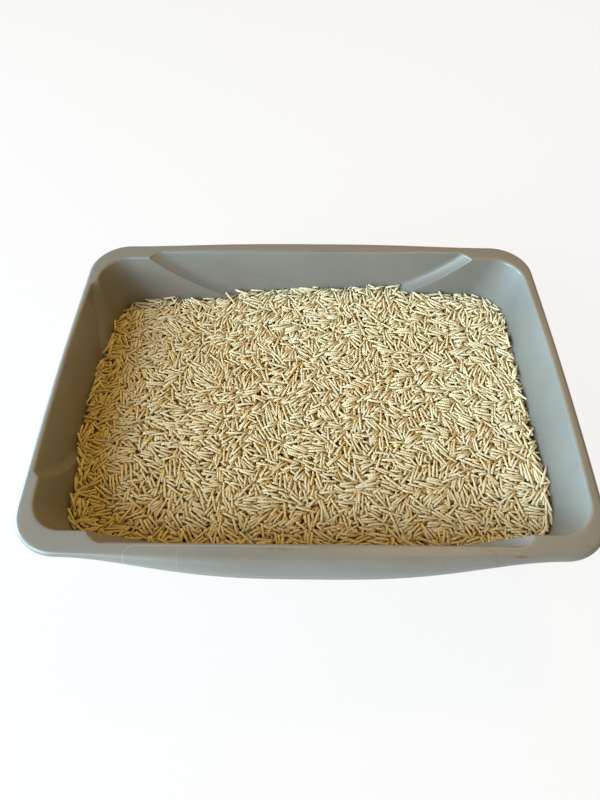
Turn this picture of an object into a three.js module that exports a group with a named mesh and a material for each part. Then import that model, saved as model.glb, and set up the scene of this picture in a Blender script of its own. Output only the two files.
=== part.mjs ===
// Open litter tray, moulded in one piece from grey plastic, with a bed of loose rod pellets in it.
// Millimetres, +Z up. The long side lies along X, and the origin is under the middle of the floor.
import * as THREE from 'three';
import { mergeVertices } from 'three/addons/utils/BufferGeometryUtils.js';

// Shell
const HEIGHT = 125;
const WALL = 2.4;
const DRAFT = 0.14; // inward run of the walls for each millimetre of depth
const FLOOR_FILLET = 18;

// Inner edge of the rim in plan. The left and right sides bow outwards in the middle.
const MOUTH = { halfX: 220.6, halfY: 156.2, radius: 29, bow: 5.2, bulge: 0 };
const RADIUS_GAIN = 0.22; // growth of the inside corner radius for each millimetre of depth
const BOW_REACH = 188;
const BOW_SHARPNESS = 1.5;

// Outer edge of the rim in plan. The front and the back bulge outwards into hand grips.
const RIM = { halfX: 232, halfY: 176.5, radius: 39, bow: 3, bulge: 11 };
const GRIP_REACH = 195;
const GRIP_SHARPNESS = 1.5;

// Rim section: a flat, a round-over and a lip turned down, which is deepest at the grips
const MOUTH_FILLET = 3;
const LIP = 2.4;
const LIP_MIN_UNDER_ROUND = 0.6;
const LIP_MIN_CHANNEL = 2; // a narrower channel under the rim is moulded solid
const SIDE_LIP = { round: 4, depth: 6 };
const CORNER_LIP = { round: 3, depth: 5 };
const GRIP_LIP = { round: 13.3, depth: 18 };

// Wall panels pushed outwards: each has a chord along the rim and a round ledge below it
const LONG_PANEL = { radius: 260, depth: 67, recess: 9.6, ledge: 6, centre: 0 };
const LEFT_PANEL = { radius: 124, depth: 75, recess: 5.2, ledge: 4, centre: 7 };

// Litter fill: depth of its top below the rim, with a bank along the back and a mound at the right
const FILL_DEPTH = 60;
const FILL_GAP = 0.3;
const FILL_LEDGE_GAP = 4; // height the litter keeps above the panels' ledges
const BANK = { x: 110, y: 165, reachX: 215, reachY: 70, rise: 15 };
const MOUND = { x: 220, y: -80, reachX: 40, reachY: 45, rise: 6 };
const FILL_RINGS = [0, 0.3, 0.55, 0.8]; // rings of its top, as shares of the way out to the wall

// Facets
const CORNER_STEPS = 8;
const LONG_STEPS = 24;
const LEFT_STEPS = 18;
const RIGHT_STEPS = 10;
const FLOOR_FILLET_STEPS = 4;
const MOUTH_FILLET_STEPS = 3;
const ROUND_STEPS = 4;
const WELD = 1e-3;
const SOLVE_PASSES = 8; // repeats that settle a depth which depends on itself

const SLOPE = Math.atan(DRAFT);
const COS_SLOPE = Math.cos(SLOPE);
const SIN_SLOPE = Math.sin(SLOPE);
const FILLET_TOP = HEIGHT - WALL - FLOOR_FILLET * (1 - SIN_SLOPE); // depth where the floor fillet ends

const { clamp, lerp } = THREE.MathUtils;

function mixLip(a, b, amount) {
  return { round: lerp(a.round, b.round, amount), depth: lerp(a.depth, b.depth, amount) };
}

// Outline of the inner wall face at a depth below the rim
function wallOutline(depth) {
  return {
    ...MOUTH,
    halfX: MOUTH.halfX - DRAFT * depth,
    halfY: MOUTH.halfY - DRAFT * depth,
    radius: MOUTH.radius + RADIUS_GAIN * depth,
  };
}

function bowAt(y) {
  return Math.max(0, 1 - (y / BOW_REACH) ** 2) ** BOW_SHARPNESS;
}

function gripAt(x) {
  const reach = Math.min(1, Math.abs(x) / GRIP_REACH);
  return Math.cos((Math.PI / 2) * reach ** GRIP_SHARPNESS) ** 2;
}

// A column is one upright section of the tray: its place along the straight runs, its outward direction,
// its share of the sides' bow, and the panel it crosses
function makeColumn(alongX, alongY, angle, panel = null) {
  const normalX = Math.cos(angle);
  const normalY = Math.sin(angle);
  const bow = alongX * bowAt(alongY * (MOUTH.halfY - MOUTH.radius) + normalY * MOUTH.radius);
  return { alongX, alongY, normalX, normalY, bow, panel };
}

// Point of a column on an outline, moved outwards by `out` and set at height z
function place(column, outline, out, z) {
  const reach = outline.radius + out;
  const x = column.alongX * (outline.halfX - outline.radius) + column.normalX * reach;
  const y = column.alongY * (outline.halfY - outline.radius) + column.normalY * reach;
  return new THREE.Vector3(
    x + column.bow * outline.bow,
    y + column.alongY * outline.bulge * gripAt(x),
    z,
  );
}

function alongWall(column, depth) {
  const point = place(column, wallOutline(depth), 0, 0);
  return Math.abs(column.normalY) > Math.abs(column.normalX) ? point.x : point.y;
}

// How far the wall is pushed out at a depth below the rim
function recessAt(column, depth) {
  const { panel } = column;
  if (!panel) return 0;
  const across = alongWall(column, depth) - panel.centre;
  const inside = panel.radius - Math.hypot(across, depth + panel.radius - panel.depth);
  return panel.recess * clamp(inside / panel.ledge, 0, 1);
}

// Depth at which a column crosses a circle about the panel's centre, or 0 where the circle misses it
function ledgeDepth(column, radius) {
  if (!column.panel) return 0;
  const { panel } = column;
  let depth = 0;
  for (let pass = 0; pass < SOLVE_PASSES; pass++) {
    const across = Math.min(radius, Math.abs(alongWall(column, depth) - panel.centre));
    depth = Math.max(0, Math.sqrt(radius ** 2 - across ** 2) - (panel.radius - panel.depth));
  }
  return depth;
}

// Depths of the two edges of a column's panel ledge, lower one first
function ledgeDepths(column) {
  if (!column.panel) return [0, 0];
  const { radius, ledge } = column.panel;
  return [ledgeDepth(column, radius), ledgeDepth(column, radius - ledge)];
}

function arc(from, to, steps) {
  return Array.from({ length: steps + 1 }, (_, i) => lerp(from, to, i / steps));
}

// Columns along one straight run, from one end of it to the other, with the ends left out
function straightColumns(angle, halfRun, steps, panel) {
  const places = [];
  if (panel) {
    const rise = panel.radius - panel.depth;
    const outer = Math.sqrt(panel.radius ** 2 - rise ** 2);
    const inner = Math.sqrt((panel.radius - panel.ledge) ** 2 - rise ** 2);
    places.push(-outer, ...arc(-inner, inner, steps), outer);
  } else {
    places.push(...arc(-halfRun, halfRun, steps).slice(1, -1));
  }
  const centre = panel ? panel.centre : 0;
  const runs = places.map((place) => (place + centre) / halfRun);
  const normalX = Math.round(Math.cos(angle));
  const normalY = Math.round(Math.sin(angle));
  const columns = runs.map((run) => (
    normalY ? makeColumn(run, normalY, angle, panel) : makeColumn(normalX, run, angle, panel)
  ));
  return normalX - normalY > 0 ? columns : columns.reverse();
}

function cornerColumns(signX, signY, fromAngle) {
  return arc(fromAngle, fromAngle + Math.PI / 2, CORNER_STEPS)
    .map((angle) => makeColumn(signX, signY, angle));
}

// All columns, counter-clockwise from above, starting at the front
function makeColumns() {
  const runX = MOUTH.halfX - MOUTH.radius;
  const runY = MOUTH.halfY - MOUTH.radius;
  const quarter = Math.PI / 2;
  return [
    ...straightColumns(-quarter, runX, LONG_STEPS, LONG_PANEL),
    ...cornerColumns(1, -1, -quarter),
    ...straightColumns(0, runY, RIGHT_STEPS, null),
    ...cornerColumns(1, 1, 0),
    ...straightColumns(quarter, runX, LONG_STEPS, LONG_PANEL),
    ...cornerColumns(-1, 1, quarter),
    ...straightColumns(2 * quarter, runY, LEFT_STEPS, LEFT_PANEL),
    ...cornerColumns(-1, -1, 2 * quarter),
  ];
}

// Wall face of a column at a depth, pushed out by its panel and by `out`
function wallPoint(column, depth, out) {
  return place(column, wallOutline(depth), out + recessAt(column, depth), HEIGHT - depth);
}

// Floor fillet of a column, from the floor up to the wall, for a face `out` from the inner face
function floorFillet(column, out) {
  const outline = wallOutline(FILLET_TOP);
  const radius = FLOOR_FILLET + out;
  return arc(-Math.PI / 2, -SLOPE, FLOOR_FILLET_STEPS).map((angle) => place(
    column,
    outline,
    radius * Math.cos(angle) - FLOOR_FILLET * COS_SLOPE,
    WALL + FLOOR_FILLET + radius * Math.sin(angle),
  ));
}

// Section of the rim at a column: its radii, its lip, and the channel under it
function rimSection(column) {
  const mouth = place(column, MOUTH, 0, HEIGHT);
  const rim = place(column, RIM, 0, HEIGHT);
  const normal = new THREE.Vector3(column.normalX, column.normalY, 0);
  const recess = recessAt(column, 0);
  const width = rim.clone().sub(mouth).dot(normal) - recess;
  const grip = mixLip(CORNER_LIP, GRIP_LIP, gripAt(rim.x));
  const lip = mixLip(grip, SIDE_LIP, column.normalX ** 2);
  const shrink = Math.min(1, width / (MOUTH_FILLET + lip.round));
  const channel = width - LIP - WALL / COS_SLOPE;
  return {
    fillet: MOUTH_FILLET * shrink,
    round: lip.round * shrink,
    depth: lip.depth,
    channel: channel < LIP_MIN_CHANNEL ? 0 : channel,
  };
}

// Section of the tray at a column: out over the floor, up the inner face, over the rim and lip,
// down the outer face and back under the floor
function trayProfile(column) {
  const { fillet, round, depth, channel } = rimSection(column);
  const [ledgeFoot, ledgeTop] = ledgeDepths(column);
  const filletDepth = fillet * (1 - SIN_SLOPE);
  const recess = recessAt(column, filletDepth);
  const innerDepths = [ledgeFoot, ledgeTop].map((d) => Math.max(d, filletDepth));
  const inner = [
    new THREE.Vector3(0, 0, WALL),
    ...floorFillet(column, 0),
    ...innerDepths.map((d) => wallPoint(column, d, 0)),
    ...arc(Math.PI - SLOPE, Math.PI / 2, MOUTH_FILLET_STEPS).map((angle) => place(
      column,
      MOUTH,
      recess - DRAFT * filletDepth + fillet * (COS_SLOPE + Math.cos(angle)),
      HEIGHT - fillet + fillet * Math.sin(angle),
    )),
  ];
  const outer = arc(Math.PI / 2, 0, ROUND_STEPS).map((angle) => place(
    column,
    RIM,
    round * (Math.cos(angle) - 1),
    HEIGHT - round + round * Math.sin(angle),
  ));
  const lipFoot = place(column, RIM, 0, HEIGHT - depth);

  const outerWall = WALL / COS_SLOPE;
  const wallTop = channel ? LIP : depth;
  const underRound = Math.max(LIP_MIN_UNDER_ROUND, Math.min(round - LIP, channel / 2));
  const underRim = channel
    ? [
      place(column, RIM, -LIP, HEIGHT - depth),
      ...arc(0, Math.PI / 2, MOUTH_FILLET_STEPS).map((angle) => place(
        column,
        RIM,
        underRound * (Math.cos(angle) - 1) - LIP,
        HEIGHT - LIP - underRound + underRound * Math.sin(angle),
      )),
    ]
    : Array(MOUTH_FILLET_STEPS + 2).fill(wallPoint(column, depth, outerWall));
  const outerDepths = [0, ledgeTop, ledgeFoot].map((d) => Math.max(d, wallTop));
  return [
    ...inner,
    ...outer,
    lipFoot,
    ...underRim,
    ...outerDepths.map((d) => wallPoint(column, d, outerWall)),
    ...floorFillet(column, WALL).reverse(),
    new THREE.Vector3(0, 0, 0),
  ];
}

// Depth of the litter's top below the rim at a point in plan
function fillDepth(x, y) {
  const swell = ({ x: cx, y: cy, reachX, reachY, rise }) => (
    rise * Math.exp(-(((x - cx) / reachX) ** 2) - ((y - cy) / reachY) ** 2)
  );
  return FILL_DEPTH - swell(BANK) - swell(MOUND);
}

// Edge of the litter at a column, at a depth below the rim
function fillPoint(column, depth) {
  const out = recessAt(column, depth + FILL_LEDGE_GAP) - FILL_GAP;
  return place(column, wallOutline(depth), out, HEIGHT - depth);
}

// Section of the litter at a column: out over its top, down the wall and back under it
function fillProfile(column) {
  let top = FILL_DEPTH;
  for (let pass = 0; pass < SOLVE_PASSES; pass++) {
    const edge = fillPoint(column, top);
    top = fillDepth(edge.x, edge.y);
  }
  const [ledgeFoot, ledgeTop] = ledgeDepths(column).map((d) => Math.max(d - FILL_LEDGE_GAP, top));
  const side = [top, ledgeTop, ledgeFoot].map((d) => fillPoint(column, d));
  const cover = FILL_RINGS.map((scale) => {
    const x = side[0].x * scale;
    const y = side[0].y * scale;
    return new THREE.Vector3(x, y, HEIGHT - fillDepth(x, y));
  });
  const underside = new THREE.Vector3(0, 0, WALL + FILL_GAP);
  return [...cover, ...side, ...floorFillet(column, -FILL_GAP).reverse(), underside];
}

// Closed surface through the columns' sections. Their first points all meet in one, and so do their last.
function skin(profiles) {
  const rows = profiles[0].length;
  const count = profiles.length;
  const at = (column, row) => (column % count) * rows + row;
  const triangles = [];
  for (let column = 0; column < count; column++) {
    for (let row = 0; row < rows - 1; row++) {
      const a = at(column, row);
      const b = at(column, row + 1);
      const c = at(column + 1, row + 1);
      const d = at(column + 1, row);
      triangles.push(a, b, c, a, c, d);
    }
  }
  const geometry = new THREE.BufferGeometry();
  geometry.setAttribute('position', new THREE.Float32BufferAttribute(
    profiles.flat().flatMap((p) => [p.x, p.y, p.z]),
    3,
  ));
  geometry.setIndex(triangles);
  return dropSlivers(mergeVertices(geometry, WELD));
}

// Triangles whose corners were welded together are left out
function dropSlivers(geometry) {
  const index = Array.from(geometry.index.array);
  const kept = [];
  for (let i = 0; i < index.length; i += 3) {
    const [a, b, c] = index.slice(i, i + 3);
    if (a !== b && b !== c && c !== a) kept.push(a, b, c);
  }
  geometry.setIndex(kept);
  geometry.computeVertexNormals();
  return geometry;
}

function makeTray(columns) {
  const material = new THREE.MeshStandardMaterial({ color: 0x9b9a90, roughness: 0.4, metalness: 0 });
  const mesh = new THREE.Mesh(skin(columns.map(trayProfile)), material);
  mesh.name = 'tray';
  return mesh;
}

function makeLitterBed(columns) {
  const material = new THREE.MeshStandardMaterial({ color: 0xd9cda4, roughness: 0.9, metalness: 0 });
  const mesh = new THREE.Mesh(skin(columns.map(fillProfile)), material);
  mesh.name = 'litter_bed';
  return mesh;
}

const columns = makeColumns();
const filledTray = new THREE.Group();
filledTray.add(makeTray(columns), makeLitterBed(columns));

export default filledTray;
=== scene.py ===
"""Looks of the filled litter tray: the moulded pan with its rim, grips and panels, and its loose rods."""
import math

import bpy
import numpy as np
from mathutils import Matrix, Vector


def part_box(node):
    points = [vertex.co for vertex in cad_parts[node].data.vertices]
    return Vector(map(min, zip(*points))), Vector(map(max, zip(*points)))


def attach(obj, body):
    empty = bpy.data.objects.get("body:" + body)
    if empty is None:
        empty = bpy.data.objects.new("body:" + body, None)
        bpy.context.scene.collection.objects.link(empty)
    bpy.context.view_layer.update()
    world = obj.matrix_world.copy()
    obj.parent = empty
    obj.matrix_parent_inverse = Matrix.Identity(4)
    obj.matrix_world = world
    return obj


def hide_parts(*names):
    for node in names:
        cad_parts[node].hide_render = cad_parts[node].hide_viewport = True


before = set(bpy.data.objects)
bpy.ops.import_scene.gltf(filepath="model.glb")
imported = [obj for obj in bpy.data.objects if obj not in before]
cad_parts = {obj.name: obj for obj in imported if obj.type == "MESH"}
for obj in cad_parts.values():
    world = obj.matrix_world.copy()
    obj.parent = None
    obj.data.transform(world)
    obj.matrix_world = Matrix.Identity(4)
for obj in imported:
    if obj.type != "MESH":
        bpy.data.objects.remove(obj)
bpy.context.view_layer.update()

MM = 0.001
QUARTER = math.pi / 2

# Tray, in millimetres. The overall sizes come from the frame, the rest are the moulding's own.
tray_low, tray_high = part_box("tray")
HEIGHT = tray_high[2] / MM
HALF_LENGTH = (tray_high[0] - tray_low[0]) / 2 / MM
HALF_WIDTH = (tray_high[1] - tray_low[1]) / 2 / MM
SIDE_BOW = 3.0
GRIP_BULGE = 11.0
WALL = 2.4
DRAFT = 0.14
FLOOR_FILLET = 18.0
RADIUS_GAIN = 0.22
BOW_REACH = 188.0
GRIP_REACH = 195.0
BOW_POWER = 1.5
GRIP_POWER = 1.5
MOUTH_FILLET = 2.2
LEFT_INSET = 2.4
LIP = 2.4
MOUTH = dict(half_x=220.6, half_y=156.2, radius=29.0, bow=5.2, bulge=0.0)
RIM = dict(
    half_x=HALF_LENGTH - SIDE_BOW,
    half_y=HALF_WIDTH - GRIP_BULGE,
    radius=39.0,
    bow=SIDE_BOW,
    bulge=GRIP_BULGE,
)
RUN_X = MOUTH["half_x"] - MOUTH["radius"]
RUN_Y = MOUTH["half_y"] - MOUTH["radius"]

# Lip of the rim: radius of its round-over and its depth, at the sides, the corners and the grips
SIDE_LIP = np.array([4.0, 6.0])
CORNER_LIP = np.array([3.0, 5.0])
GRIP_LIP = np.array([12.5, 18.0])
GRIP_CREASE = 0.2

# Wall panels pushed outwards. A panel's ledge is a tight round off the wall and a wide hollow
# into the panel.
LONG_PANEL = dict(radius=260.0, depth=67.0, recess=9.6, ledge=9.0, centre=0.0)
LEFT_PANEL = dict(radius=126.4, depth=75.9, recess=5.2, ledge=7.5, centre=5.9)
LEDGE_TIGHT = 0.12
LEDGE_HOLLOW = 1.9
PLAIN_SIDE, LONG_SIDE, LEFT_SIDE = range(3)

# Rounds that settle a depth and a place that depend on each other
SETTLE_ROUNDS = 8

SLOPE = math.atan(DRAFT)
COS_SLOPE = math.cos(SLOPE)
SIN_SLOPE = math.sin(SLOPE)
FILLET_TOP = HEIGHT - WALL - FLOOR_FILLET * (1 - SIN_SLOPE)
WALL_ACROSS = WALL / COS_SLOPE

# Litter, in millimetres: how deep its top lies, its bank along the back, its mound at the right,
# and the gutter along the right wall
FILL_DEPTH = 60.0
BANK = dict(x=110.0, y=165.0, reach_x=215.0, reach_y=70.0, rise=15.0)
MOUND = dict(x=220.0, y=-80.0, reach_x=40.0, reach_y=45.0, rise=6.0)
GUTTER = dict(start=209.0, width=9.0, drop=3.0)
ROD = 1.85
ROD_SPREAD = 0.08
ROD_FLAT = 1.06
LENGTH_MEAN = 13.0
LENGTH_SPREAD = 3.4
LENGTH_LEAST = 5.0
LENGTH_MOST = 23.0
BIT_SHARE = 0.12
BIT_MOST = 0.7
LAYERS = 8.0
HEAP = 2.5
SEED = 41


def smooth(value):
    value = np.clip(value, 0, 1)
    return value * value * (3 - 2 * value)


def bow_at(y):
    return np.maximum(0, 1 - (y / BOW_REACH) ** 2) ** BOW_POWER


def grip_at(x):
    return np.cos(QUARTER * np.minimum(1, np.abs(x) / GRIP_REACH) ** GRIP_POWER) ** 2


def wall_outline(depth):
    """Inner wall face in plan, at a depth below the rim."""
    return dict(
        half_x=MOUTH["half_x"] - DRAFT * depth,
        half_y=MOUTH["half_y"] - DRAFT * depth,
        radius=MOUTH["radius"] + RADIUS_GAIN * depth,
        bow=MOUTH["bow"],
        bulge=MOUTH["bulge"],
    )


def panel_recess(panel, across, depth):
    """How far a panel pushes the wall out, at a place along the wall and a depth below the rim."""
    rise = panel["radius"] - panel["depth"]
    inside = panel["radius"] - np.hypot(across - panel["centre"], depth + rise)
    share = np.clip(inside / panel["ledge"], 0, 1)
    return panel["recess"] * smooth(share / LEDGE_TIGHT) * (1 - (1 - share) ** LEDGE_HOLLOW)


class Sections:
    """Upright sections of the tray, counter-clockwise from above, as arrays with one entry per section."""

    COARSE = 4.0
    FINE = 0.75
    MARGIN = 3.0

    def __init__(self, coarseness=1.0, corner_steps=22):
        self.coarse = self.COARSE * coarseness
        self.fine = self.FINE * coarseness
        self.corner_steps = corner_steps
        self.rows = []
        self.add_side(-QUARTER, RUN_X, LONG_SIDE, LONG_PANEL)
        self.add_corner(1, -1, -QUARTER)
        self.add_side(0.0, RUN_Y, PLAIN_SIDE, None)
        self.add_corner(1, 1, 0.0)
        self.add_side(QUARTER, RUN_X, LONG_SIDE, LONG_PANEL)
        self.add_corner(-1, 1, QUARTER)
        self.add_side(2 * QUARTER, RUN_Y, LEFT_SIDE, LEFT_PANEL)
        self.add_corner(-1, -1, 2 * QUARTER)
        self.along_x, self.along_y, angle, self.side = np.array(self.rows).T
        self.normal_x = np.cos(angle)
        self.normal_y = np.sin(angle)
        self.bow = self.along_x * bow_at(self.along_y * RUN_Y + self.normal_y * MOUTH["radius"])
        self.count = len(self.side)

    def places(self, half_run, panel):
        """Places along one side, closer together where a panel's ledge meets the rim."""
        stops = [-half_run, half_run]
        steps = [self.coarse]
        if panel:
            rise = panel["radius"] - panel["depth"]
            outer = math.sqrt(panel["radius"] ** 2 - rise ** 2) + self.MARGIN
            inner = math.sqrt((panel["radius"] - panel["ledge"]) ** 2 - rise ** 2) - self.MARGIN
            stops[1:1] = [panel["centre"] + shift for shift in (-outer, -inner, inner, outer)]
            steps = [self.coarse, self.fine, self.coarse, self.fine, self.coarse]
        runs = []
        for start, stop, step in zip(stops, stops[1:], steps):
            runs.append(np.linspace(start, stop, max(1, round((stop - start) / step)) + 1)[1:])
        return np.concatenate(runs)[:-1]

    def add_side(self, angle, half_run, side, panel):
        normal_x = round(math.cos(angle))
        normal_y = round(math.sin(angle))
        shares = self.places(half_run, panel) / half_run
        if normal_x - normal_y < 0:
            shares = shares[::-1]
        for share in shares:
            self.rows.append((share, normal_y, angle, side) if normal_y else (normal_x, share, angle, side))

    def add_corner(self, sign_x, sign_y, start):
        for angle in np.linspace(start, start + QUARTER, self.corner_steps + 1):
            self.rows.append((sign_x, sign_y, angle, PLAIN_SIDE))

    def place(self, outline, out, z):
        """Points on an outline, moved outwards by `out` and set at height z."""
        reach = outline["radius"] + out
        x = self.along_x * (outline["half_x"] - outline["radius"]) + self.normal_x * reach
        y = self.along_y * (outline["half_y"] - outline["radius"]) + self.normal_y * reach
        y = y + self.along_y * outline["bulge"] * grip_at(x)
        x = x + self.bow * outline["bow"]
        return np.stack([x, y, np.broadcast_to(z, x.shape)], axis=1)

    def across(self, depth):
        point = self.place(wall_outline(depth), 0, 0)
        return np.where(np.abs(self.normal_y) > np.abs(self.normal_x), point[:, 0], point[:, 1])

    def recess(self, depth):
        """How far the wall stands out at a depth: the panel's recess, less the inset of the left wall."""
        across = self.across(depth)
        long_recess = panel_recess(LONG_PANEL, across, depth)
        left_recess = panel_recess(LEFT_PANEL, across, depth)
        on_panel = [self.side == LONG_SIDE, self.side == LEFT_SIDE]
        recess = np.select(on_panel, [long_recess, left_recess], 0.0)
        leftward = np.minimum(self.normal_x, 0) ** 2
        return recess - LEFT_INSET * leftward * np.maximum(0, 1 - depth / FILL_DEPTH)

    def ledge_depth(self, inset):
        """Depth at which each section crosses its panel's outline, drawn in by a share of the ledge."""
        depth = np.zeros(self.count)
        for side, panel in ((LONG_SIDE, LONG_PANEL), (LEFT_SIDE, LEFT_PANEL)):
            radius = panel["radius"] - inset * panel["ledge"]
            found = np.zeros(self.count)
            for _ in range(SETTLE_ROUNDS):
                across = self.across(found) - panel["centre"]
                drop = np.sqrt(np.maximum(0, radius ** 2 - across ** 2))
                found = np.maximum(0, drop - panel["radius"] + panel["depth"])
            depth = np.where(self.side == side, found, depth)
        return depth

    def wall(self, depth, out):
        return self.place(wall_outline(depth), out + self.recess(depth), HEIGHT - depth)

    def floor_fillet(self, angle, out):
        radius = FLOOR_FILLET + out
        sideways = radius * math.cos(angle) - FLOOR_FILLET * COS_SLOPE
        upright = WALL + FLOOR_FILLET + radius * math.sin(angle)
        return self.place(wall_outline(FILLET_TOP), sideways, upright)


def add_object(name, data):
    made = bpy.data.objects.new(name, data)
    bpy.context.scene.collection.objects.link(made)
    return made


def new_piece(name, points, faces, material, flat_faces=()):
    """Mesh object from points in millimetres, smooth-shaded apart from the faces listed."""
    mesh = bpy.data.meshes.new(name)
    mesh.from_pydata((np.asarray(points) * MM).tolist(), [], faces)
    shading = np.ones(len(faces), bool)
    shading[list(flat_faces)] = False
    mesh.polygons.foreach_set("use_smooth", shading)
    mesh.materials.append(material)
    mesh.update()
    return add_object(name, mesh)


def ring_skin(rows):
    """Faces of a closed skin through rings of equal count, with one flat face over each end."""
    count = len(rows[0])
    faces = [list(range(count))]
    for row in range(len(rows) - 1):
        low = row * count
        for column in range(count):
            beside = (column + 1) % count
            faces.append((low + column, low + count + column, low + count + beside, low + beside))
    last = (len(rows) - 1) * count
    faces.append([last + column for column in reversed(range(count))])
    return np.concatenate(rows), faces


# Tray

LEDGE_SHARES = (0.03, 0.07, 0.11, 0.16, 0.22, 0.29, 0.38, 0.5, 0.64, 0.8, 1.0)
PANEL_ROWS = 7
LOWER_ROWS = 8
LEAST_PANEL = 3.0
LEAST_LEDGE = 5.0
LEAST_CHANNEL = 0.2
LEAST_LIP = 0.8
LEAST_BEND = 0.08
FILLET_ROWS = 7
BEND_ROWS = 11
UNDER_ROWS = 5
RIM_SHARES = (0.25, 0.5, 0.75)


def wall_depths(sections, top_depth):
    """Depths of the wall's rows, from the floor fillet up to a top depth, set by the panels' ledges."""
    ledge_top = np.maximum(sections.ledge_depth(1.0), top_depth + LEAST_PANEL)
    ledge_foot = np.maximum(sections.ledge_depth(0.0), ledge_top + LEAST_LEDGE)
    depths = []
    for share in np.linspace(0, 1, LOWER_ROWS + 1)[1:]:
        depths.append(FILLET_TOP + (ledge_foot - FILLET_TOP) * share)
    for share in LEDGE_SHARES:
        depths.append(ledge_foot + (ledge_top - ledge_foot) * share)
    for share in np.linspace(0, 1, PANEL_ROWS + 1)[1:]:
        depths.append(ledge_top + (top_depth - ledge_top) * share)
    return depths


def tray_rings(sections):
    """Rings of the tray's skin: over the floor, up the inside, over rim and lip and down the outside."""
    fillet_depth = MOUTH_FILLET * (1 - SIN_SLOPE)
    recess = sections.recess(np.full(sections.count, fillet_depth))
    normal = np.stack([sections.normal_x, sections.normal_y], axis=1)
    mouth_edge = sections.place(MOUTH, 0, HEIGHT)
    rim_edge = sections.place(RIM, 0, HEIGHT)
    width = np.sum((rim_edge - mouth_edge)[:, :2] * normal, axis=1) - recess
    grip = grip_at(rim_edge[:, 0])[:, None]
    end = (sections.normal_x ** 2)[:, None]
    lip = (CORNER_LIP + (GRIP_LIP - CORNER_LIP) * grip) * (1 - end) + SIDE_LIP * end
    shrink = np.minimum(1, width / (MOUTH_FILLET + lip[:, 0]))
    fillet = MOUTH_FILLET * shrink
    bend = lip[:, 0] * shrink
    depth = lip[:, 1]
    thick = np.minimum(width - WALL_ACROSS - LEAST_CHANNEL, depth - bend - LEAST_CHANNEL)
    thick = np.clip(thick, LEAST_LIP, LIP)
    channel = np.maximum(LEAST_CHANNEL, width - thick - WALL_ACROSS)
    under_bend = np.clip(np.minimum(bend - thick, channel / 2), LEAST_BEND, None)
    crease = GRIP_CREASE * grip[:, 0] * (1 - end[:, 0])
    bend_foot = HEIGHT - bend * np.cos(crease)

    rings = [sections.floor_fillet(angle, 0) for angle in np.linspace(-QUARTER, -SLOPE, FILLET_ROWS)]
    top_depth = fillet * (1 - SIN_SLOPE)
    rings += [sections.wall(level, 0) for level in wall_depths(sections, top_depth)]
    for angle in np.linspace(math.pi - SLOPE, QUARTER, FILLET_ROWS)[1:]:
        out = recess - DRAFT * top_depth + fillet * (COS_SLOPE + math.cos(angle))
        rings.append(sections.place(MOUTH, out, HEIGHT - fillet + fillet * math.sin(angle)))
    flat_start = rings[-1]
    flat_end = sections.place(RIM, bend * (np.sin(crease) - 1), HEIGHT)
    rings += [flat_start + (flat_end - flat_start) * share for share in RIM_SHARES]
    for share in np.linspace(1, 0, BEND_ROWS):
        angle = share * (QUARTER - crease)
        rings.append(sections.place(RIM, bend * (np.cos(angle) - 1), bend_foot + bend * np.sin(angle)))
    rings.append(sections.place(RIM, 0, HEIGHT - depth + thick))
    for angle in np.linspace(0, -math.pi, FILLET_ROWS):
        out = thick / 2 * (math.cos(angle) - 1)
        rings.append(sections.place(RIM, out, HEIGHT - depth + thick / 2 * (1 + math.sin(angle))))
    for angle in np.linspace(0, QUARTER, UNDER_ROWS):
        out = under_bend * (math.cos(angle) - 1) - thick
        rings.append(sections.place(RIM, out, HEIGHT - LIP + under_bend * (math.sin(angle) - 1)))
    outside = wall_depths(sections, np.full(sections.count, LIP))
    rings += [sections.wall(level, WALL_ACROSS) for level in reversed(outside)]
    for angle in np.linspace(-SLOPE, -QUARTER, FILLET_ROWS):
        rings.append(sections.floor_fillet(angle, WALL))
    return rings


def build_tray(material):
    points, faces = ring_skin(tray_rings(Sections()))
    return new_piece("tray_moulding", points, faces, material, flat_faces=(0, len(faces) - 1))


# Litter

def litter_depth(x, y):
    """Depth of the litter's top below the rim at a point in plan."""
    depth = FILL_DEPTH + GUTTER["drop"] * smooth((x - GUTTER["start"]) / GUTTER["width"])
    for swell in (BANK, MOUND):
        across = ((x - swell["x"]) / swell["reach_x"]) ** 2 + ((y - swell["y"]) / swell["reach_y"]) ** 2
        depth = depth - swell["rise"] * np.exp(-across)
    return depth


LOWER_COVER = (0.04, 0.15, 0.3, 0.45, 0.6, 0.75, 0.88)
LOWER_GAP = 0.6
LOWER_SINK = 1.0
LOWER_LEVELS = 8


def build_lower_litter(material):
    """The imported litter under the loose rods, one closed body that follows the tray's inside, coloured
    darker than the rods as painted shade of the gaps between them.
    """
    sections = Sections(coarseness=2.0, corner_steps=10)
    top = np.full(sections.count, FILL_DEPTH + LAYERS)
    for _ in range(SETTLE_ROUNDS):
        out = sections.recess(top + LEAST_LEDGE) - LOWER_GAP
        edge = sections.place(wall_outline(top), out, HEIGHT - top)
        top = litter_depth(edge[:, 0], edge[:, 1]) + LAYERS + LOWER_SINK
    rings = []
    for share in LOWER_COVER:
        ring = edge * share
        ring[:, 2] = HEIGHT - litter_depth(ring[:, 0], ring[:, 1]) - LAYERS - LOWER_SINK
        rings.append(ring)
    for share in np.linspace(0, 1, LOWER_LEVELS):
        level = top + (FILLET_TOP - top) * share
        out = sections.recess(level + LEAST_LEDGE) - LOWER_GAP
        rings.append(sections.place(wall_outline(level), out, HEIGHT - level))
    for angle in np.linspace(-SLOPE, -QUARTER, UNDER_ROWS):
        rings.append(sections.floor_fillet(angle, -LOWER_GAP))
    points, faces = ring_skin(rings)
    return new_piece("litter_lower", points, faces, material, flat_faces=(0, len(faces) - 1))


CELL = 0.6
SHALLOW, DEEP = 30, 90
WALL_BAND = 34.0
WALL_CLEARANCE = 0.25


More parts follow.
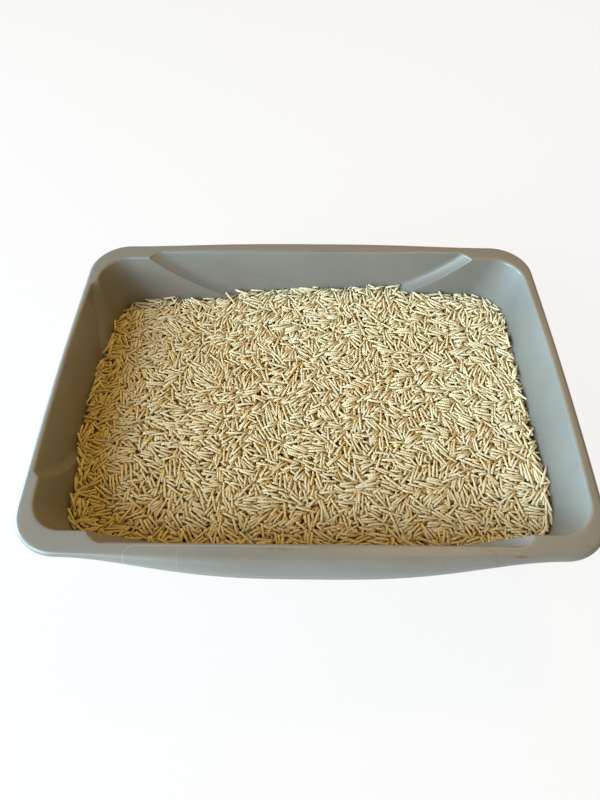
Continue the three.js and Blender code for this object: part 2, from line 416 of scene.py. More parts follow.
def inside_height(x, y):
    """Height of the tray's inside face over points in plan, above the deepest level that the rods reach."""
    height = np.full(x.shape, HEIGHT - DEEP)
    near_wall = (np.abs(x) > MOUTH["half_x"] - WALL_BAND) | (np.abs(y) > MOUTH["half_y"] - WALL_BAND)
    x, y = x[near_wall], y[near_wall]
    plain_x = np.abs(x) - np.minimum(1, np.abs(x) / RUN_X) * MOUTH["bow"] * bow_at(y)
    found = np.full(x.shape, HEIGHT)
    for depth in range(SHALLOW, DEEP):
        outline = wall_outline(depth)
        past_x = plain_x - outline["half_x"] + outline["radius"]
        past_y = np.abs(y) - outline["half_y"] + outline["radius"]
        corner = np.hypot(np.maximum(past_x, 0), np.maximum(past_y, 0))
        outside = corner + np.minimum(np.maximum(past_x, past_y), 0) - outline["radius"]
        side_recess = np.where(x < 0, panel_recess(LEFT_PANEL, y, depth), 0)
        recess = np.where(past_y > past_x, panel_recess(LONG_PANEL, x, depth), side_recess)
        found = np.where(outside < recess - WALL_CLEARANCE, HEIGHT - depth, found)
    height[near_wall] = found
    return height


class Heap:
    """Rods let fall one by one on a height field, each coming to rest on what lies below it."""

    SAMPLES = np.linspace(-0.5, 0.5, 13)
    LANES = np.array([-0.72, 0.0, 0.72])
    TRIES = 4
    STEEPEST = 0.42
    TILT_COST = 5.0
    PROUD = 0.4
    PIT_DEPTH = 3.2
    PIT_TRIES = 10
    PIT_COUNT = 5000
    LOOSE_PROUD = 2.5
    LOOSE_STEEPEST = 0.26
    LOOSE_RODS = 3300
    LOOSE_LONGER = 1.15
    LEANING_RODS = 260
    LEANING_PROUD = 6.5
    LEANING_STEEPEST = 0.75
    WALL_REACH = 6.0
    ALIGNED = 0.04
    BUNDLED = 0.1
    MARGIN_X = 6.0
    MARGIN_Y = 8.0
    TOO_STEEP = 100.0
    HEADING_SPREAD = 0.16
    BESIDE_APART = (0.98, 1.06)
    BESIDE_SHIFT = 0.08
    BESIDE_TURN = 0.03
    BESIDE_LENGTH = (0.7, 1.05)

    def __init__(self):
        self.rng = np.random.default_rng(SEED)
        end_x = MOUTH["half_x"] + self.MARGIN_X
        end_y = MOUTH["half_y"] + self.MARGIN_Y
        self.x_axis = np.arange(-MOUTH["half_x"] - LONG_PANEL["recess"], end_x, CELL)
        self.y_axis = np.arange(-end_y, end_y, CELL)
        x, y = np.meshgrid(self.x_axis, self.y_axis)
        self.surface = HEIGHT - litter_depth(x, y) + HEAP
        walls = inside_height(x, y)
        self.ground = np.maximum(self.surface - LAYERS, walls)
        self.beside_wall = self.near_wall(walls > self.surface)
        self.heading = self.rng.uniform(0, math.pi, x.shape)
        self.rods = []
        self.tries = self.TRIES
        self.proud = self.PROUD
        self.steepest = self.STEEPEST
        self.longer = 1.0
        middle = len(self.SAMPLES) // 2
        before, after = np.meshgrid(np.arange(middle), np.arange(middle + 1, len(self.SAMPLES)))
        self.middle = middle
        self.before = before.ravel()
        self.after = after.ravel()
        gap = self.SAMPLES[self.after] - self.SAMPLES[self.before]
        self.weight_before = self.SAMPLES[self.after] / gap
        self.weight_after = 1 - self.weight_before
        self.gap = gap

    def near_wall(self, outside):
        """Rows and columns of the cells inside the tray that lie close to its wall."""
        reach = round(self.WALL_REACH / CELL)
        close = np.zeros(outside.shape, bool)
        for step, axis in ((reach, 0), (-reach, 0), (reach, 1), (-reach, 1)):
            close |= np.roll(outside, step, axis)
        return np.nonzero(close & ~outside)

    def cells(self, x, y):
        column = np.clip(((x - self.x_axis[0]) / CELL).astype(int), 0, len(self.x_axis) - 1)
        row = np.clip(((y - self.y_axis[0]) / CELL).astype(int), 0, len(self.y_axis) - 1)
        return row, column

    def rest(self, x, y, angle, length, radius):
        """Height of each rod's middle and its rise from end to end, when it lies on the ground below it."""
        cos, sin = np.cos(angle)[:, None], np.sin(angle)[:, None]
        along = self.SAMPLES * length[:, None]
        lanes = self.LANES * radius
        spot_x = (x[:, None] + along * cos)[:, :, None] - lanes * sin[:, :, None]
        spot_y = (y[:, None] + along * sin)[:, :, None] + lanes * cos[:, :, None]
        lift = np.sqrt(radius ** 2 - lanes ** 2)
        level = (self.ground[self.cells(spot_x, spot_y)] + lift).max(axis=2)
        chords = level[:, self.before] * self.weight_before + level[:, self.after] * self.weight_after
        best = chords.argmax(axis=1)
        pick = np.arange(len(x))
        height = chords[pick, best]
        rise = (level[pick, self.after[best]] - level[pick, self.before[best]]) / self.gap[best]
        centre = level[:, self.middle]
        shares = self.SAMPLES[self.middle + 1:]
        least = ((level[:, self.middle + 1:] - centre[:, None]) / shares).max(axis=1)
        most = ((centre[:, None] - level[:, :self.middle]) / -self.SAMPLES[:self.middle]).min(axis=1)
        tipped = np.clip(0, least, np.maximum(least, most))
        on_centre = centre > height
        return np.where(on_centre, centre, height), np.where(on_centre, tipped, rise)

    def lay(self, x, y, z, angle, rise, length, radius):
        cos, sin = math.cos(angle), math.sin(angle)
        reach_x = length / 2 * abs(cos) + radius
        reach_y = length / 2 * abs(sin) + radius
        left = max(0, int((x - reach_x - self.x_axis[0]) / CELL))
        right = int((x + reach_x - self.x_axis[0]) / CELL) + 2
        low = max(0, int((y - reach_y - self.y_axis[0]) / CELL))
        high = int((y + reach_y - self.y_axis[0]) / CELL) + 2
        off_x = self.x_axis[left:right][None, :] - x
        off_y = self.y_axis[low:high][:, None] - y
        along = off_x * cos + off_y * sin
        aside = off_y * cos - off_x * sin
        covered = (np.abs(along) <= length / 2) & (np.abs(aside) <= radius)
        top = z + rise * along / length + np.sqrt(np.maximum(0, radius ** 2 - aside ** 2))
        block = self.ground[low:high, left:right]
        block[covered] = np.maximum(block, top)[covered]
        self.heading[low:high, left:right][covered] = angle
        self.rods.append((x, y, z, angle, rise, length, radius))

    def drop(self, x, y, angle, length):
        """Lays the lowest-lying rod of each row, unless it stands proud of the litter's top."""
        radius = ROD / 2 * (1 + ROD_SPREAD * self.rng.standard_normal() / 2)
        shape = x.shape
        height, rise = self.rest(x.ravel(), y.ravel(), angle.ravel(), length.ravel(), radius)
        proud = height + radius - self.surface[self.cells(x.ravel(), y.ravel())]
        steep = np.abs(rise) / length.ravel()
        score = proud + self.TILT_COST * steep + np.where(steep > self.steepest, self.TOO_STEEP, 0)
        score = score.reshape(shape)
        best = score.argmin(axis=1)
        laid = []
        for row in np.flatnonzero(score.min(axis=1) < self.proud):
            pick = row, best[row]
            place = row * shape[1] + best[row]
            laid.append((x[pick], y[pick], height[place], angle[pick], rise[place], length[pick], radius))
            self.lay(*laid[-1])
        return laid

    def lengths(self, shape):
        long_rods = self.rng.normal(LENGTH_MEAN * self.longer, LENGTH_SPREAD, shape)
        bits = self.rng.uniform(LENGTH_LEAST, LENGTH_MEAN * BIT_MOST, shape)
        is_bit = self.rng.random(shape) < BIT_SHARE
        return np.clip(np.where(is_bit, bits, long_rods), LENGTH_LEAST, LENGTH_MOST)

    def sweep(self):
        """One rod on each of many tiles that lie too far apart for their rods to meet."""
        stride = 2 * LENGTH_MOST
        shift = self.rng.random(2) * stride
        tile_x, tile_y = np.meshgrid(
            np.arange(self.x_axis[0] - shift[0], self.x_axis[-1], stride),
            np.arange(self.y_axis[0] - shift[1], self.y_axis[-1], stride),
        )
        shape = tile_x.size, self.tries
        x = tile_x.reshape(-1, 1) + self.rng.random(shape) * LENGTH_MOST
        y = tile_y.reshape(-1, 1) + self.rng.random(shape) * LENGTH_MOST
        local = self.heading[self.cells(x, y)] + self.rng.normal(0, self.HEADING_SPREAD, shape)
        free = self.rng.uniform(0, math.pi, shape)
        angle = np.where(self.rng.random(shape) < self.ALIGNED, local, free)
        laid = self.drop(x, y, angle, self.lengths(shape))
        for rod in laid:
            self.add_neighbours(rod)
        return len(laid)

    def fill(self, most=20000, sweeps=1500, patience=40):
        """Fills up to the litter's top, then lays loose rods across it and along the walls."""
        misses = 0
        for _ in range(sweeps):
            misses = 0 if self.sweep() else misses + 1
            if len(self.rods) >= most or misses > patience:
                break
        self.fill_pits()
        self.tries = 1
        self.proud = self.LOOSE_PROUD
        self.steepest = self.LOOSE_STEEPEST
        self.longer = self.LOOSE_LONGER
        most = len(self.rods) + self.LOOSE_RODS
        while len(self.rods) < most:
            self.sweep()
        self.lean_on_walls()

    def lean_on_walls(self):
        """Adds rods along the walls, some of them leaning up against them."""
        self.proud = self.LEANING_PROUD
        self.steepest = self.LEANING_STEEPEST
        rows, columns = self.beside_wall
        shape = 1, 1
        for pick in self.rng.integers(len(rows), size=self.LEANING_RODS):
            x = np.full(shape, self.x_axis[columns[pick]])
            y = np.full(shape, self.y_axis[rows[pick]])
            self.drop(x, y, self.rng.uniform(0, math.pi, shape), self.lengths(shape))

    def fill_pits(self):
        """Lays rods in the holes that go deeper than the top layer's rods."""
        rows, columns = np.nonzero(self.surface - self.ground > self.PIT_DEPTH)
        for pick in self.rng.permutation(len(rows))[:self.PIT_COUNT]:
            row, column = rows[pick], columns[pick]
            if self.surface[row, column] - self.ground[row, column] > self.PIT_DEPTH:
                shape = 1, self.PIT_TRIES
                x = self.x_axis[column] + self.rng.normal(0, ROD, shape)
                y = self.y_axis[row] + self.rng.normal(0, ROD, shape)
                self.drop(x, y, self.rng.uniform(0, math.pi, shape), self.lengths(shape))

    def add_neighbours(self, rod):
        """Lays one or two rods alongside, as they come apart from one strand."""
        x, y, _, angle, _, length, radius = rod
        if self.rng.random() > self.BUNDLED:
            return
        for side in ((1,), (-1,), (1, -1))[self.rng.integers(3)]:
            away = side * 2 * radius * self.rng.uniform(*self.BESIDE_APART)
            shift = self.rng.normal(0, self.BESIDE_SHIFT) * length
            beside_x = x - away * math.sin(angle) + shift * math.cos(angle)
            beside_y = y + away * math.cos(angle) + shift * math.sin(angle)
            turn = angle + self.rng.normal(0, self.BESIDE_TURN)
            share = self.rng.uniform(*self.BESIDE_LENGTH)
            self.drop(*(np.array([[value]]) for value in (beside_x, beside_y, turn, length * share)))


def tree_socket(tree, name):
    """Identifier of a named input of a node tree."""
    for item in tree.interface.items_tree:
        if item.item_type == "SOCKET" and item.in_out == "INPUT" and item.name == name:
            return item.identifier
    raise KeyError(name)


def add_node(tree, kind, settings=None, **inputs):
    """Node with its settings, and its inputs by name with underscores for spaces, linked or set."""
    made = tree.nodes.new(kind)
    for name, value in (settings or {}).items():
        setattr(made, name, value)
    for name, value in inputs.items():
        set_input(tree, made.inputs[name.replace("_", " ")], value)
    return made


def set_input(tree, socket, value):
    if isinstance(value, bpy.types.NodeSocket):
        tree.links.new(value, socket)
    else:
        socket.default_value = value


def add_inputs(tree, kinds):
    """Named inputs of a node tree, each with its kind of socket."""
    for name, kind in kinds.items():
        tree.interface.new_socket(name, in_out="INPUT", socket_type="NodeSocket" + kind)


ROD_INPUTS = {"Geometry": "Geometry", "Rod sides": "Int", "Map cells": "Float", "Finish": "Material"}
ROD_SIDES = 8
ROD_SHAPES = ((1, 0.0, 0.0), (1, 0.06, 0.0), (2, 0.03, 0.14))
SHAPE_SHARES = (0.52, 0.33, 0.15)
SPIN_SPREAD = 0.2
# Rods' colour share: a random spread about a mean, less a painted shade that grows with how deep a rod lies
TINT_MEAN = 0.78
TINT_SPREAD = 0.14
SUNK_SHADE = 1.3

# Share of its cell of the map that a rod fills
MAP_FILL = 0.9
MAP_EDGE = (1 - MAP_FILL) / 2


def rod_shapes(tree, sides):
    """Rod of unit length and thickness in three shapes: square cut, slant cut and slightly bent."""
    shapes = []
    for segments, slant, bend in ROD_SHAPES:
        rod = add_node(
            tree,
            "GeometryNodeMeshCylinder",
            {"fill_type": "NGON"},
            Vertices=sides,
            Side_Segments=segments,
            Radius=0.5,
            Depth=1.0,
        )
        mapped = store(tree, rod.outputs["Mesh"], "rod_map", "FLOAT_VECTOR", rod.outputs["UV Map"])
        where = add_node(tree, "GeometryNodeInputPosition").outputs["Position"]
        axis = add_node(tree, "ShaderNodeSeparateXYZ", Vector=where)
        x, z = axis.outputs["X"], axis.outputs["Z"]
        slope = math_node(tree, "MULTIPLY", x, slant)
        # A bent rod's middle moves aside on a parabola that leaves its ends where they are
        square = math_node(tree, "MULTIPLY", math_node(tree, "MULTIPLY", z, z), -4.0)
        bow = math_node(tree, "MULTIPLY", math_node(tree, "ADD", square, 1.0), bend)
        offset = add_node(tree, "ShaderNodeCombineXYZ", X=bow, Y=0.0, Z=slope)
        shift = offset.outputs["Vector"]
        moved = add_node(tree, "GeometryNodeSetPosition", Geometry=mapped, Offset=shift)
        shaded = tree.nodes.new("GeometryNodeSetShadeSmooth")
        tree.links.new(moved.outputs["Geometry"], shaded.inputs[0])
        tree.links.new(rod.outputs["Side"], shaded.inputs["Shade Smooth"])
        shapes.append(shaded.outputs[0])
    return shapes


def enabled(sockets, name):
    """The one enabled socket among those that share a name."""
    return next(socket for socket in sockets if socket.name == name and socket.enabled)


def store(tree, geometry, name, kind, value):
    """Geometry with a value stored under a name at the corners of its faces."""
    stored = add_node(
        tree,
        "GeometryNodeStoreNamedAttribute",
        {"data_type": kind, "domain": "CORNER"},
        Geometry=geometry,
        Name=name,
    )
    tree.links.new(value, enabled(stored.inputs, "Value"))
    return stored.outputs["Geometry"]


def math_node(tree, operation, first, second=0.0, third=0.0):
    made = add_node(tree, "ShaderNodeMath", {"operation": operation})
    for socket, value in zip(made.inputs, (first, second, third)):
        set_input(tree, socket, value)
    return made.outputs["Value"]


def vector_node(tree, operation, *values, result="Vector"):
    made = add_node(tree, "ShaderNodeVectorMath", {"operation": operation})
    for socket, value in zip(made.inputs, values):
        set_input(tree, socket, value)
    return made.outputs[result]


def named(tree, name, kind):
    found = add_node(tree, "GeometryNodeInputNamedAttribute", {"data_type": kind}, Name=name)
    return enabled(found.outputs, "Attribute")


def rod_tree():
    """Geometry nodes that set one rod on each point, by the point's own turn, size and shape."""
    tree = bpy.data.node_groups.new("litter_rods", "GeometryNodeTree")
    tree.interface.new_socket("Geometry", in_out="OUTPUT", socket_type="NodeSocketGeometry")
    add_inputs(tree, ROD_INPUTS)
    given = tree.nodes.new("NodeGroupInput")
    shapes = add_node(tree, "GeometryNodeGeometryToInstance")
    for shape in rod_shapes(tree, given.outputs["Rod sides"]):
        tree.links.new(shape, shapes.inputs["Geometry"])
    placed = add_node(
        tree,
        "GeometryNodeInstanceOnPoints",
        Points=given.outputs["Geometry"],
        Instance=shapes.outputs["Instances"],
        Pick_Instance=True,
        Instance_Index=named(tree, "shape", "INT"),
        Rotation=named(tree, "turn", "QUATERNION"),
        Scale=named(tree, "size", "FLOAT_VECTOR"),
    )
    solid = add_node(tree, "GeometryNodeRealizeInstances", Geometry=placed.outputs["Instances"])
    rod_map = named(tree, "rod_map", "FLOAT_VECTOR")
    inset = vector_node(tree, "MULTIPLY_ADD", rod_map, (MAP_FILL, MAP_FILL, 0.0), (MAP_EDGE, MAP_EDGE, 0.0))
    shifted = vector_node(tree, "ADD", inset, named(tree, "cell", "FLOAT_VECTOR"))
    scaled = vector_node(tree, "DIVIDE", shifted, given.outputs["Map cells"])
    mapped = store(tree, solid.outputs["Geometry"], "OFBake", "FLOAT2", scaled)
    finished = add_node(tree, "GeometryNodeSetMaterial", Geometry=mapped, Material=given.outputs["Finish"])
    made = tree.nodes.new("NodeGroupOutput")
    tree.links.new(finished.outputs["Geometry"], made.inputs["Geometry"])
    return tree


def rod_points(name, rods, rng):
    """Points that carry each rod's turn, size, shape, colour with painted shade on the deeper rods, and
    cell of the map.
    """
    x, y, z, angle, rise, length, radius = rods.T
    count = len(rods)
    true_length = np.hypot(length, rise)
    axis = np.stack([np.cos(angle) * length, np.sin(angle) * length, rise], axis=1) / true_length[:, None]
    spin = (angle + QUARTER + rng.normal(0, SPIN_SPREAD, count)) / 2
    scalar = 1 + axis[:, 2]
    scale = 1 / np.sqrt(scalar ** 2 + axis[:, 1] ** 2 + axis[:, 0] ** 2)
    turn_w, turn_x, turn_y = scalar * scale, -axis[:, 1] * scale, axis[:, 0] * scale
    cos, sin = np.cos(spin), np.sin(spin)
    turn = [turn_w * cos, turn_x * cos + turn_y * sin, turn_y * cos - turn_x * sin, turn_w * sin]
    cells = math.ceil(math.sqrt(count))
    index = np.arange(count)
    cell = np.stack([index % cells, index // cells, np.zeros(count)], axis=1)
    size = np.stack([2 * radius * ROD_FLAT, 2 * radius / ROD_FLAT, true_length], axis=1) * MM
    shape = rng.choice(len(SHAPE_SHARES), count, p=SHAPE_SHARES)
    # Deeper rods are painted darker and tan: painted shade of the gaps they lie in, on top of the random
    # spread
    sunk = np.clip((HEIGHT - litter_depth(x, y) + HEAP - z) / LAYERS, 0, 1)
    tint_and_sunk_shade = np.clip(rng.normal(TINT_MEAN, TINT_SPREAD, count) - SUNK_SHADE * sunk, 0, 1)
    mesh = bpy.data.meshes.new(name)
    mesh.from_pydata((np.stack([x, y, z], axis=1) * MM).tolist(), [], [])
    for attribute, kind, field, values in (
        ("turn", "QUATERNION", "value", np.stack(turn, axis=1)),
        ("size", "FLOAT_VECTOR", "vector", size),
        ("shape", "INT", "value", shape.astype(np.int32)),
        ("cell", "FLOAT_VECTOR", "vector", cell),
        ("tint_and_sunk_shade", "FLOAT", "value", tint_and_sunk_shade),
    ):
        mesh.attributes.new(attribute, kind, "POINT").data.foreach_set(field, values.ravel())
    return mesh, cells


def build_rods(name, rods, rng, tree, material):
    points, cells = rod_points(name, rods, rng)
    source = add_object(name + "_points", points)
    modifier = source.modifiers.new("rods", "NODES")
    modifier.node_group = tree
    modifier[tree_socket(tree, "Rod sides")] = ROD_SIDES
    modifier[tree_socket(tree, "Map cells")] = float(cells)
    modifier[tree_socket(tree, "Finish")] = material
    depsgraph = bpy.context.evaluated_depsgraph_get()
    mesh = bpy.data.meshes.new_from_object(source.evaluated_get(depsgraph))
    bpy.data.objects.remove(source)
    for attribute in ("turn", "size", "shape", "cell", "rod_map"):
        if attribute in mesh.attributes:
            mesh.attributes.remove(mesh.attributes[attribute])
    mesh.name = name
    return add_object(name, mesh)


def build_loose_litter(material):
    """All the loose rods, in four pieces by quarter of the tray."""
    heap = Heap()
    heap.fill()
    rods = np.array(heap.rods)
    rng = np.random.default_rng(SEED + 1)
    tree = rod_tree()
    pieces = []
    left = rods[:, 0] < np.median(rods[:, 0])
    for end, at_end in (("left", left), ("right", ~left)):
        half = rods[at_end]
        front = half[:, 1] < np.median(half[:, 1])
        for row, at_row in (("front", front), ("back", ~front)):
            pieces.append(build_rods(f"litter_rods_{row}_{end}", half[at_row], rng, tree, material))
    return pieces


# Finishes

def new_material(name):
    material = bpy.data.materials.new(name)
    material.use_nodes = True
    tree = material.node_tree
    return material, tree, tree.nodes["Principled BSDF"]


MOTTLE_NOISE = (("Clouds", 3.0), ("Specks", 2.0))
MOTTLE_ROUGH = 0.55

# Span of a mottle's tone over which a finish goes from one end to the other
TONE_SPAN = (0.3, 0.7)
PACKED_SPAN = (0.35, 0.65)

# Places of a Mix node's factor and two inputs among its sockets, and of its result, by what it mixes
MIX_PLACES = {"FLOAT": ((0, 2, 3), 0), "RGBA": ((0, 6, 7), 2)}


def mix_node(tree, kind, *values):
    mixed = add_node(tree, "ShaderNodeMix", {"data_type": kind})
    places, result = MIX_PLACES[kind]
    for place, value in zip(places, values):
        set_input(tree, mixed.inputs[place], value)
    return mixed.outputs[result]


def colour_mix(tree, share, first, second):
    return mix_node(tree, "RGBA", share, first, second)


def mottle_group():
    """Uneven tone: broad clouds with fine specks in them."""
    tree = bpy.data.node_groups.new("mottle", "ShaderNodeTree")
    add_inputs(tree, {"Place": "Vector", "Clouds": "Float", "Specks": "Float", "Speck share": "Float"})
    tree.interface.new_socket("Tone", in_out="OUTPUT", socket_type="NodeSocketFloat")
    given = tree.nodes.new("NodeGroupInput")
    made = tree.nodes.new("NodeGroupOutput")
    tones = []
    for scale, detail in MOTTLE_NOISE:
        noise = add_node(
            tree,
            "ShaderNodeTexNoise",
            Vector=given.outputs["Place"],
            Scale=given.outputs[scale],
            Detail=detail,
            Roughness=MOTTLE_ROUGH,
        )
        tones.append(noise.outputs["Fac"])
    mixed = mix_node(tree, "FLOAT", given.outputs["Speck share"], *tones)
    tree.links.new(mixed, made.inputs["Tone"])
    return tree


MOTTLE = mottle_group()


def mottle(tree, place, clouds, specks, speck_share):
    values = dict(Place=place, Clouds=clouds, Specks=specks, Speck_share=speck_share)
    return add_node(tree, "ShaderNodeGroup", {"node_tree": MOTTLE}, **values).outputs["Tone"]


def object_place(tree):
    return add_node(tree, "ShaderNodeTexCoord").outputs["Object"]


def span(tree, value, low, high, to_low, to_high, soft=True):
    """Value taken from one span to another, held at its ends."""
    ranged = add_node(
        tree,
        "ShaderNodeMapRange",
        {"interpolation_type": "SMOOTHSTEP" if soft else "LINEAR"},
        Value=value,
        From_Min=low,
        From_Max=high,
        To_Min=to_low,
        To_Max=to_high,
    )
    return ranged.outputs["Result"]


def apart(tree, first, second):
    return math_node(tree, "ABSOLUTE", math_node(tree, "SUBTRACT", first, second))


def product(tree, first, *others):
    for other in others:
        first = math_node(tree, "MULTIPLY", first, other)
    return first


def counted_from(tree, value, start, unit):
    """A coordinate counted from a start in units of a length, both in millimetres."""
    return math_node(tree, "MULTIPLY_ADD", value, 1 / (unit * MM), -start / unit)


def add_bump(tree, shader, height, strength, distance, invert=False):
    values = dict(Height=height, Strength=strength, Distance=distance * MM)
    bump = add_node(tree, "ShaderNodeBump", {"invert": invert}, **values)
    tree.links.new(bump.outputs["Normal"], shader.inputs["Normal"])


PLASTIC_LIGHT = (0.236, 0.227, 0.203, 1)
PLASTIC_DARK = (0.207, 0.198, 0.175, 1)
# Insert lines: painted highlight on the left half, painted shade on the right half, as for light from the
# left
LINE_PAINTED_HIGHLIGHT = (0.42, 0.42, 0.40, 1)
LINE_PAINTED_SHADE = (0.10, 0.095, 0.085, 1)
SMUDGE_BROWN = (0.20, 0.14, 0.07, 1)
SPECK_DARK = (0.05, 0.04, 0.03, 1)
PLASTIC_ROUGH = (0.29, 0.37)
PLASTIC_IOR = 1.49
DIRT_ROUGH = 0.3
LINE_SHARE = 0.5
BAR_STRENGTH = 0.6
INSERT_LINE = 0.5 * MM
INSERT_HALF_X = 141 * MM
INSERT_EDGE_Y = 168.3 * MM
INSERT_ROUND = 9 * MM
INSERT_BAR_X = 100 * MM
SIDE_BAR_Y = 93 * MM

# Marks of use, in millimetres: smudges on the front rim by place, half size and strength, specks at
# the left rim, and the ends of a hairline scuff on the back panel
SMUDGES = (
    (-22.0, -170.5, 14.0, 2.4, 0.8),
    (158.0, -174.6, 9.0, 1.6, 0.95),
    (211.0, -167.0, 8.0, 3.0, 0.5),
)
FLECK_SCALE = 420.0
FLECK_SPAN = (0.44, 0.6)
FLECK_STRENGTHS = (0.15, 1.0)
SMUDGE_EDGE = (0.2, 1.0)
SPECKS = ((-228.0, 55.9, 120.0), (-230.0, -29.0, 124.0))
SPECK_SIZE = 0.8
SPECK_STRENGTH = 0.7
SCUFF_START = (-17.8, 88.9)
SCUFF_END = (-100.5, 113.1)
SCUFF_CURVE = 1.8
SCUFF_LINE = 0.5
SCUFF_STRENGTH = 0.3


def insert_lines(tree, place):
    """Hair-fine lines of the mould's inserts: round each grip, across it, and across the side rims, and the
    tray's right half, where the lines get painted shade; elsewhere they get painted highlight.
    """
    axis = add_node(tree, "ShaderNodeSeparateXYZ", Vector=place)
    x = math_node(tree, "ABSOLUTE", axis.outputs["X"])
    y = math_node(tree, "ABSOLUTE", axis.outputs["Y"])
    past_x = math_node(tree, "SUBTRACT", x, INSERT_HALF_X - INSERT_ROUND)
    past_y = math_node(tree, "SUBTRACT", INSERT_EDGE_Y + INSERT_ROUND, y)
    corner_x = math_node(tree, "POWER", math_node(tree, "MAXIMUM", past_x, 0.0), 2.0)
    corner_y = math_node(tree, "POWER", math_node(tree, "MAXIMUM", past_y, 0.0), 2.0)
    corner = math_node(tree, "SQRT", math_node(tree, "ADD", corner_x, corner_y))
    inner = math_node(tree, "MINIMUM", math_node(tree, "MAXIMUM", past_x, past_y), 0.0)
    grip_edge = math_node(tree, "SUBTRACT", math_node(tree, "ADD", corner, inner), INSERT_ROUND)
    grip_line = span(tree, math_node(tree, "ABSOLUTE", grip_edge), 0.0, INSERT_LINE, 1.0, 0.0)
    bar_line = span(tree, apart(tree, x, INSERT_BAR_X), 0.0, INSERT_LINE, BAR_STRENGTH, 0.0)
    within = math_node(tree, "GREATER_THAN", y, INSERT_EDGE_Y)
    side_line = span(tree, apart(tree, y, SIDE_BAR_Y), 0.0, INSERT_LINE, BAR_STRENGTH, 0.0)
    on_side = math_node(tree, "GREATER_THAN", x, MOUTH["half_x"] * MM)
    on_rim = math_node(tree, "GREATER_THAN", axis.outputs["Z"], (HEIGHT - GRIP_LIP[1]) * MM)
    lines = math_node(tree, "MAXIMUM", product(tree, bar_line, within), grip_line)
    lines = math_node(tree, "MAXIMUM", lines, product(tree, side_line, on_side))
    # Right half of the tray, where the insert lines are painted in shade instead of highlight
    painted_shade_half = math_node(tree, "GREATER_THAN", axis.outputs["X"], 0.0)
    return product(tree, lines, on_rim), painted_shade_half


def smudges(tree, place):
    """Flecked dirty patches on the flat of the rim."""
    axis = add_node(tree, "ShaderNodeSeparateXYZ", Vector=place)
    flecks = add_node(tree, "ShaderNodeTexNoise", Vector=place, Scale=FLECK_SCALE, Detail=3.0)
    flecks = span(tree, flecks.outputs["Fac"], *FLECK_SPAN, *FLECK_STRENGTHS)
    total = 0.0
    for x, y, half_x, half_y, strength in SMUDGES:
        away_x = math_node(tree, "POWER", counted_from(tree, axis.outputs["X"], x, half_x), 2.0)
        away_y = math_node(tree, "POWER", counted_from(tree, axis.outputs["Y"], y, half_y), 2.0)
        far = math_node(tree, "ADD", away_x, away_y)
        total = math_node(tree, "MAXIMUM", span(tree, far, *SMUDGE_EDGE, strength, 0.0), total)
    on_top = math_node(tree, "GREATER_THAN", axis.outputs["Z"], (HEIGHT - MOUTH_FILLET) * MM)
    return product(tree, total, flecks, on_top)


def specks(tree, place):
    total = 0.0
    for spot in SPECKS:
        away = vector_node(tree, "DISTANCE", place, Vector(spot) * MM, result="Value")
        dot = span(tree, away, SPECK_SIZE / 2 * MM, SPECK_SIZE * MM, SPECK_STRENGTH, 0.0)
        total = math_node(tree, "MAXIMUM", dot, total)
    return total


def scuff(tree, place):
    """Hairline scuff that curves down across the back panel."""
    axis = add_node(tree, "ShaderNodeSeparateXYZ", Vector=place)
    run = SCUFF_END[0] - SCUFF_START[0]
    drop = SCUFF_END[1] - SCUFF_START[1]
    share = counted_from(tree, axis.outputs["X"], SCUFF_START[0], run)
    curved = math_node(tree, "POWER", math_node(tree, "MAXIMUM", share, 0.0), SCUFF_CURVE)
    level = math_node(tree, "MULTIPLY_ADD", curved, drop * MM, SCUFF_START[1] * MM)
    off = apart(tree, axis.outputs["Z"], level)
    line = span(tree, off, 0.0, SCUFF_LINE * MM, SCUFF_STRENGTH, 0.0)
    within = math_node(tree, "COMPARE", share, 0.5, 0.5)
    at_back = math_node(tree, "GREATER_THAN", axis.outputs["Y"], RUN_Y * MM)
    return product(tree, line, within, at_back)


def tray_plastic():
    material, tree, plastic = new_material("tray_plastic_satin")
    place = object_place(tree)
    tone = mottle(tree, place, clouds=9.0, specks=60.0, speck_share=0.2)
    colour = colour_mix(tree, span(tree, tone, *TONE_SPAN, 0.0, 1.0), PLASTIC_DARK, PLASTIC_LIGHT)
    lines, painted_shade_half = insert_lines(tree, place)
    # Insert lines painted light on the left half and dark on the right half: painted highlight and painted
    # shade
    line_painted_light = colour_mix(tree, painted_shade_half, LINE_PAINTED_HIGHLIGHT, LINE_PAINTED_SHADE)
    colour = colour_mix(tree, product(tree, lines, LINE_SHARE), colour, line_painted_light)
    dirt = smudges(tree, place)
    colour = colour_mix(tree, dirt, colour, SMUDGE_BROWN)
    marks = math_node(tree, "MAXIMUM", specks(tree, place), scuff(tree, place))
    colour = colour_mix(tree, marks, colour, SPECK_DARK)
    tree.links.new(colour, plastic.inputs["Base Color"])
    rub = mottle(tree, place, clouds=20.0, specks=90.0, speck_share=0.2)
    rubbed = span(tree, rub, *TONE_SPAN, *PLASTIC_ROUGH)
    rough = math_node(tree, "MULTIPLY_ADD", dirt, DIRT_ROUGH, rubbed)
    tree.links.new(rough, plastic.inputs["Roughness"])
    add_bump(tree, plastic, lines, strength=0.5, distance=0.1, invert=True)
    plastic.inputs["IOR"].default_value = PLASTIC_IOR
    plastic.inputs["Specular IOR Level"].default_value = 0.5
    return material


# Cream for rods near the litter's top; tan for rods toned low at random and for the painted shade of deeper
# rods
ROD_CREAM = (0.85, 0.80, 0.58, 1)
ROD_TAN_AND_SHADE = (0.73, 0.52, 0.18, 1)
ROD_UNEVEN = 0.5
CREAM_TINT = 0.8
ROD_ROUGH = (0.72, 0.9)
ROD_GRAIN = 2400.0
# Colours of the lower litter, darker than the rods: painted shade of the deep gaps between rods, mottled at
# random between the two
PACKED_SHADE_DARK = (0.16, 0.10, 0.04, 1)
PACKED_SHADE_LIGHT = (0.42, 0.31, 0.15, 1)


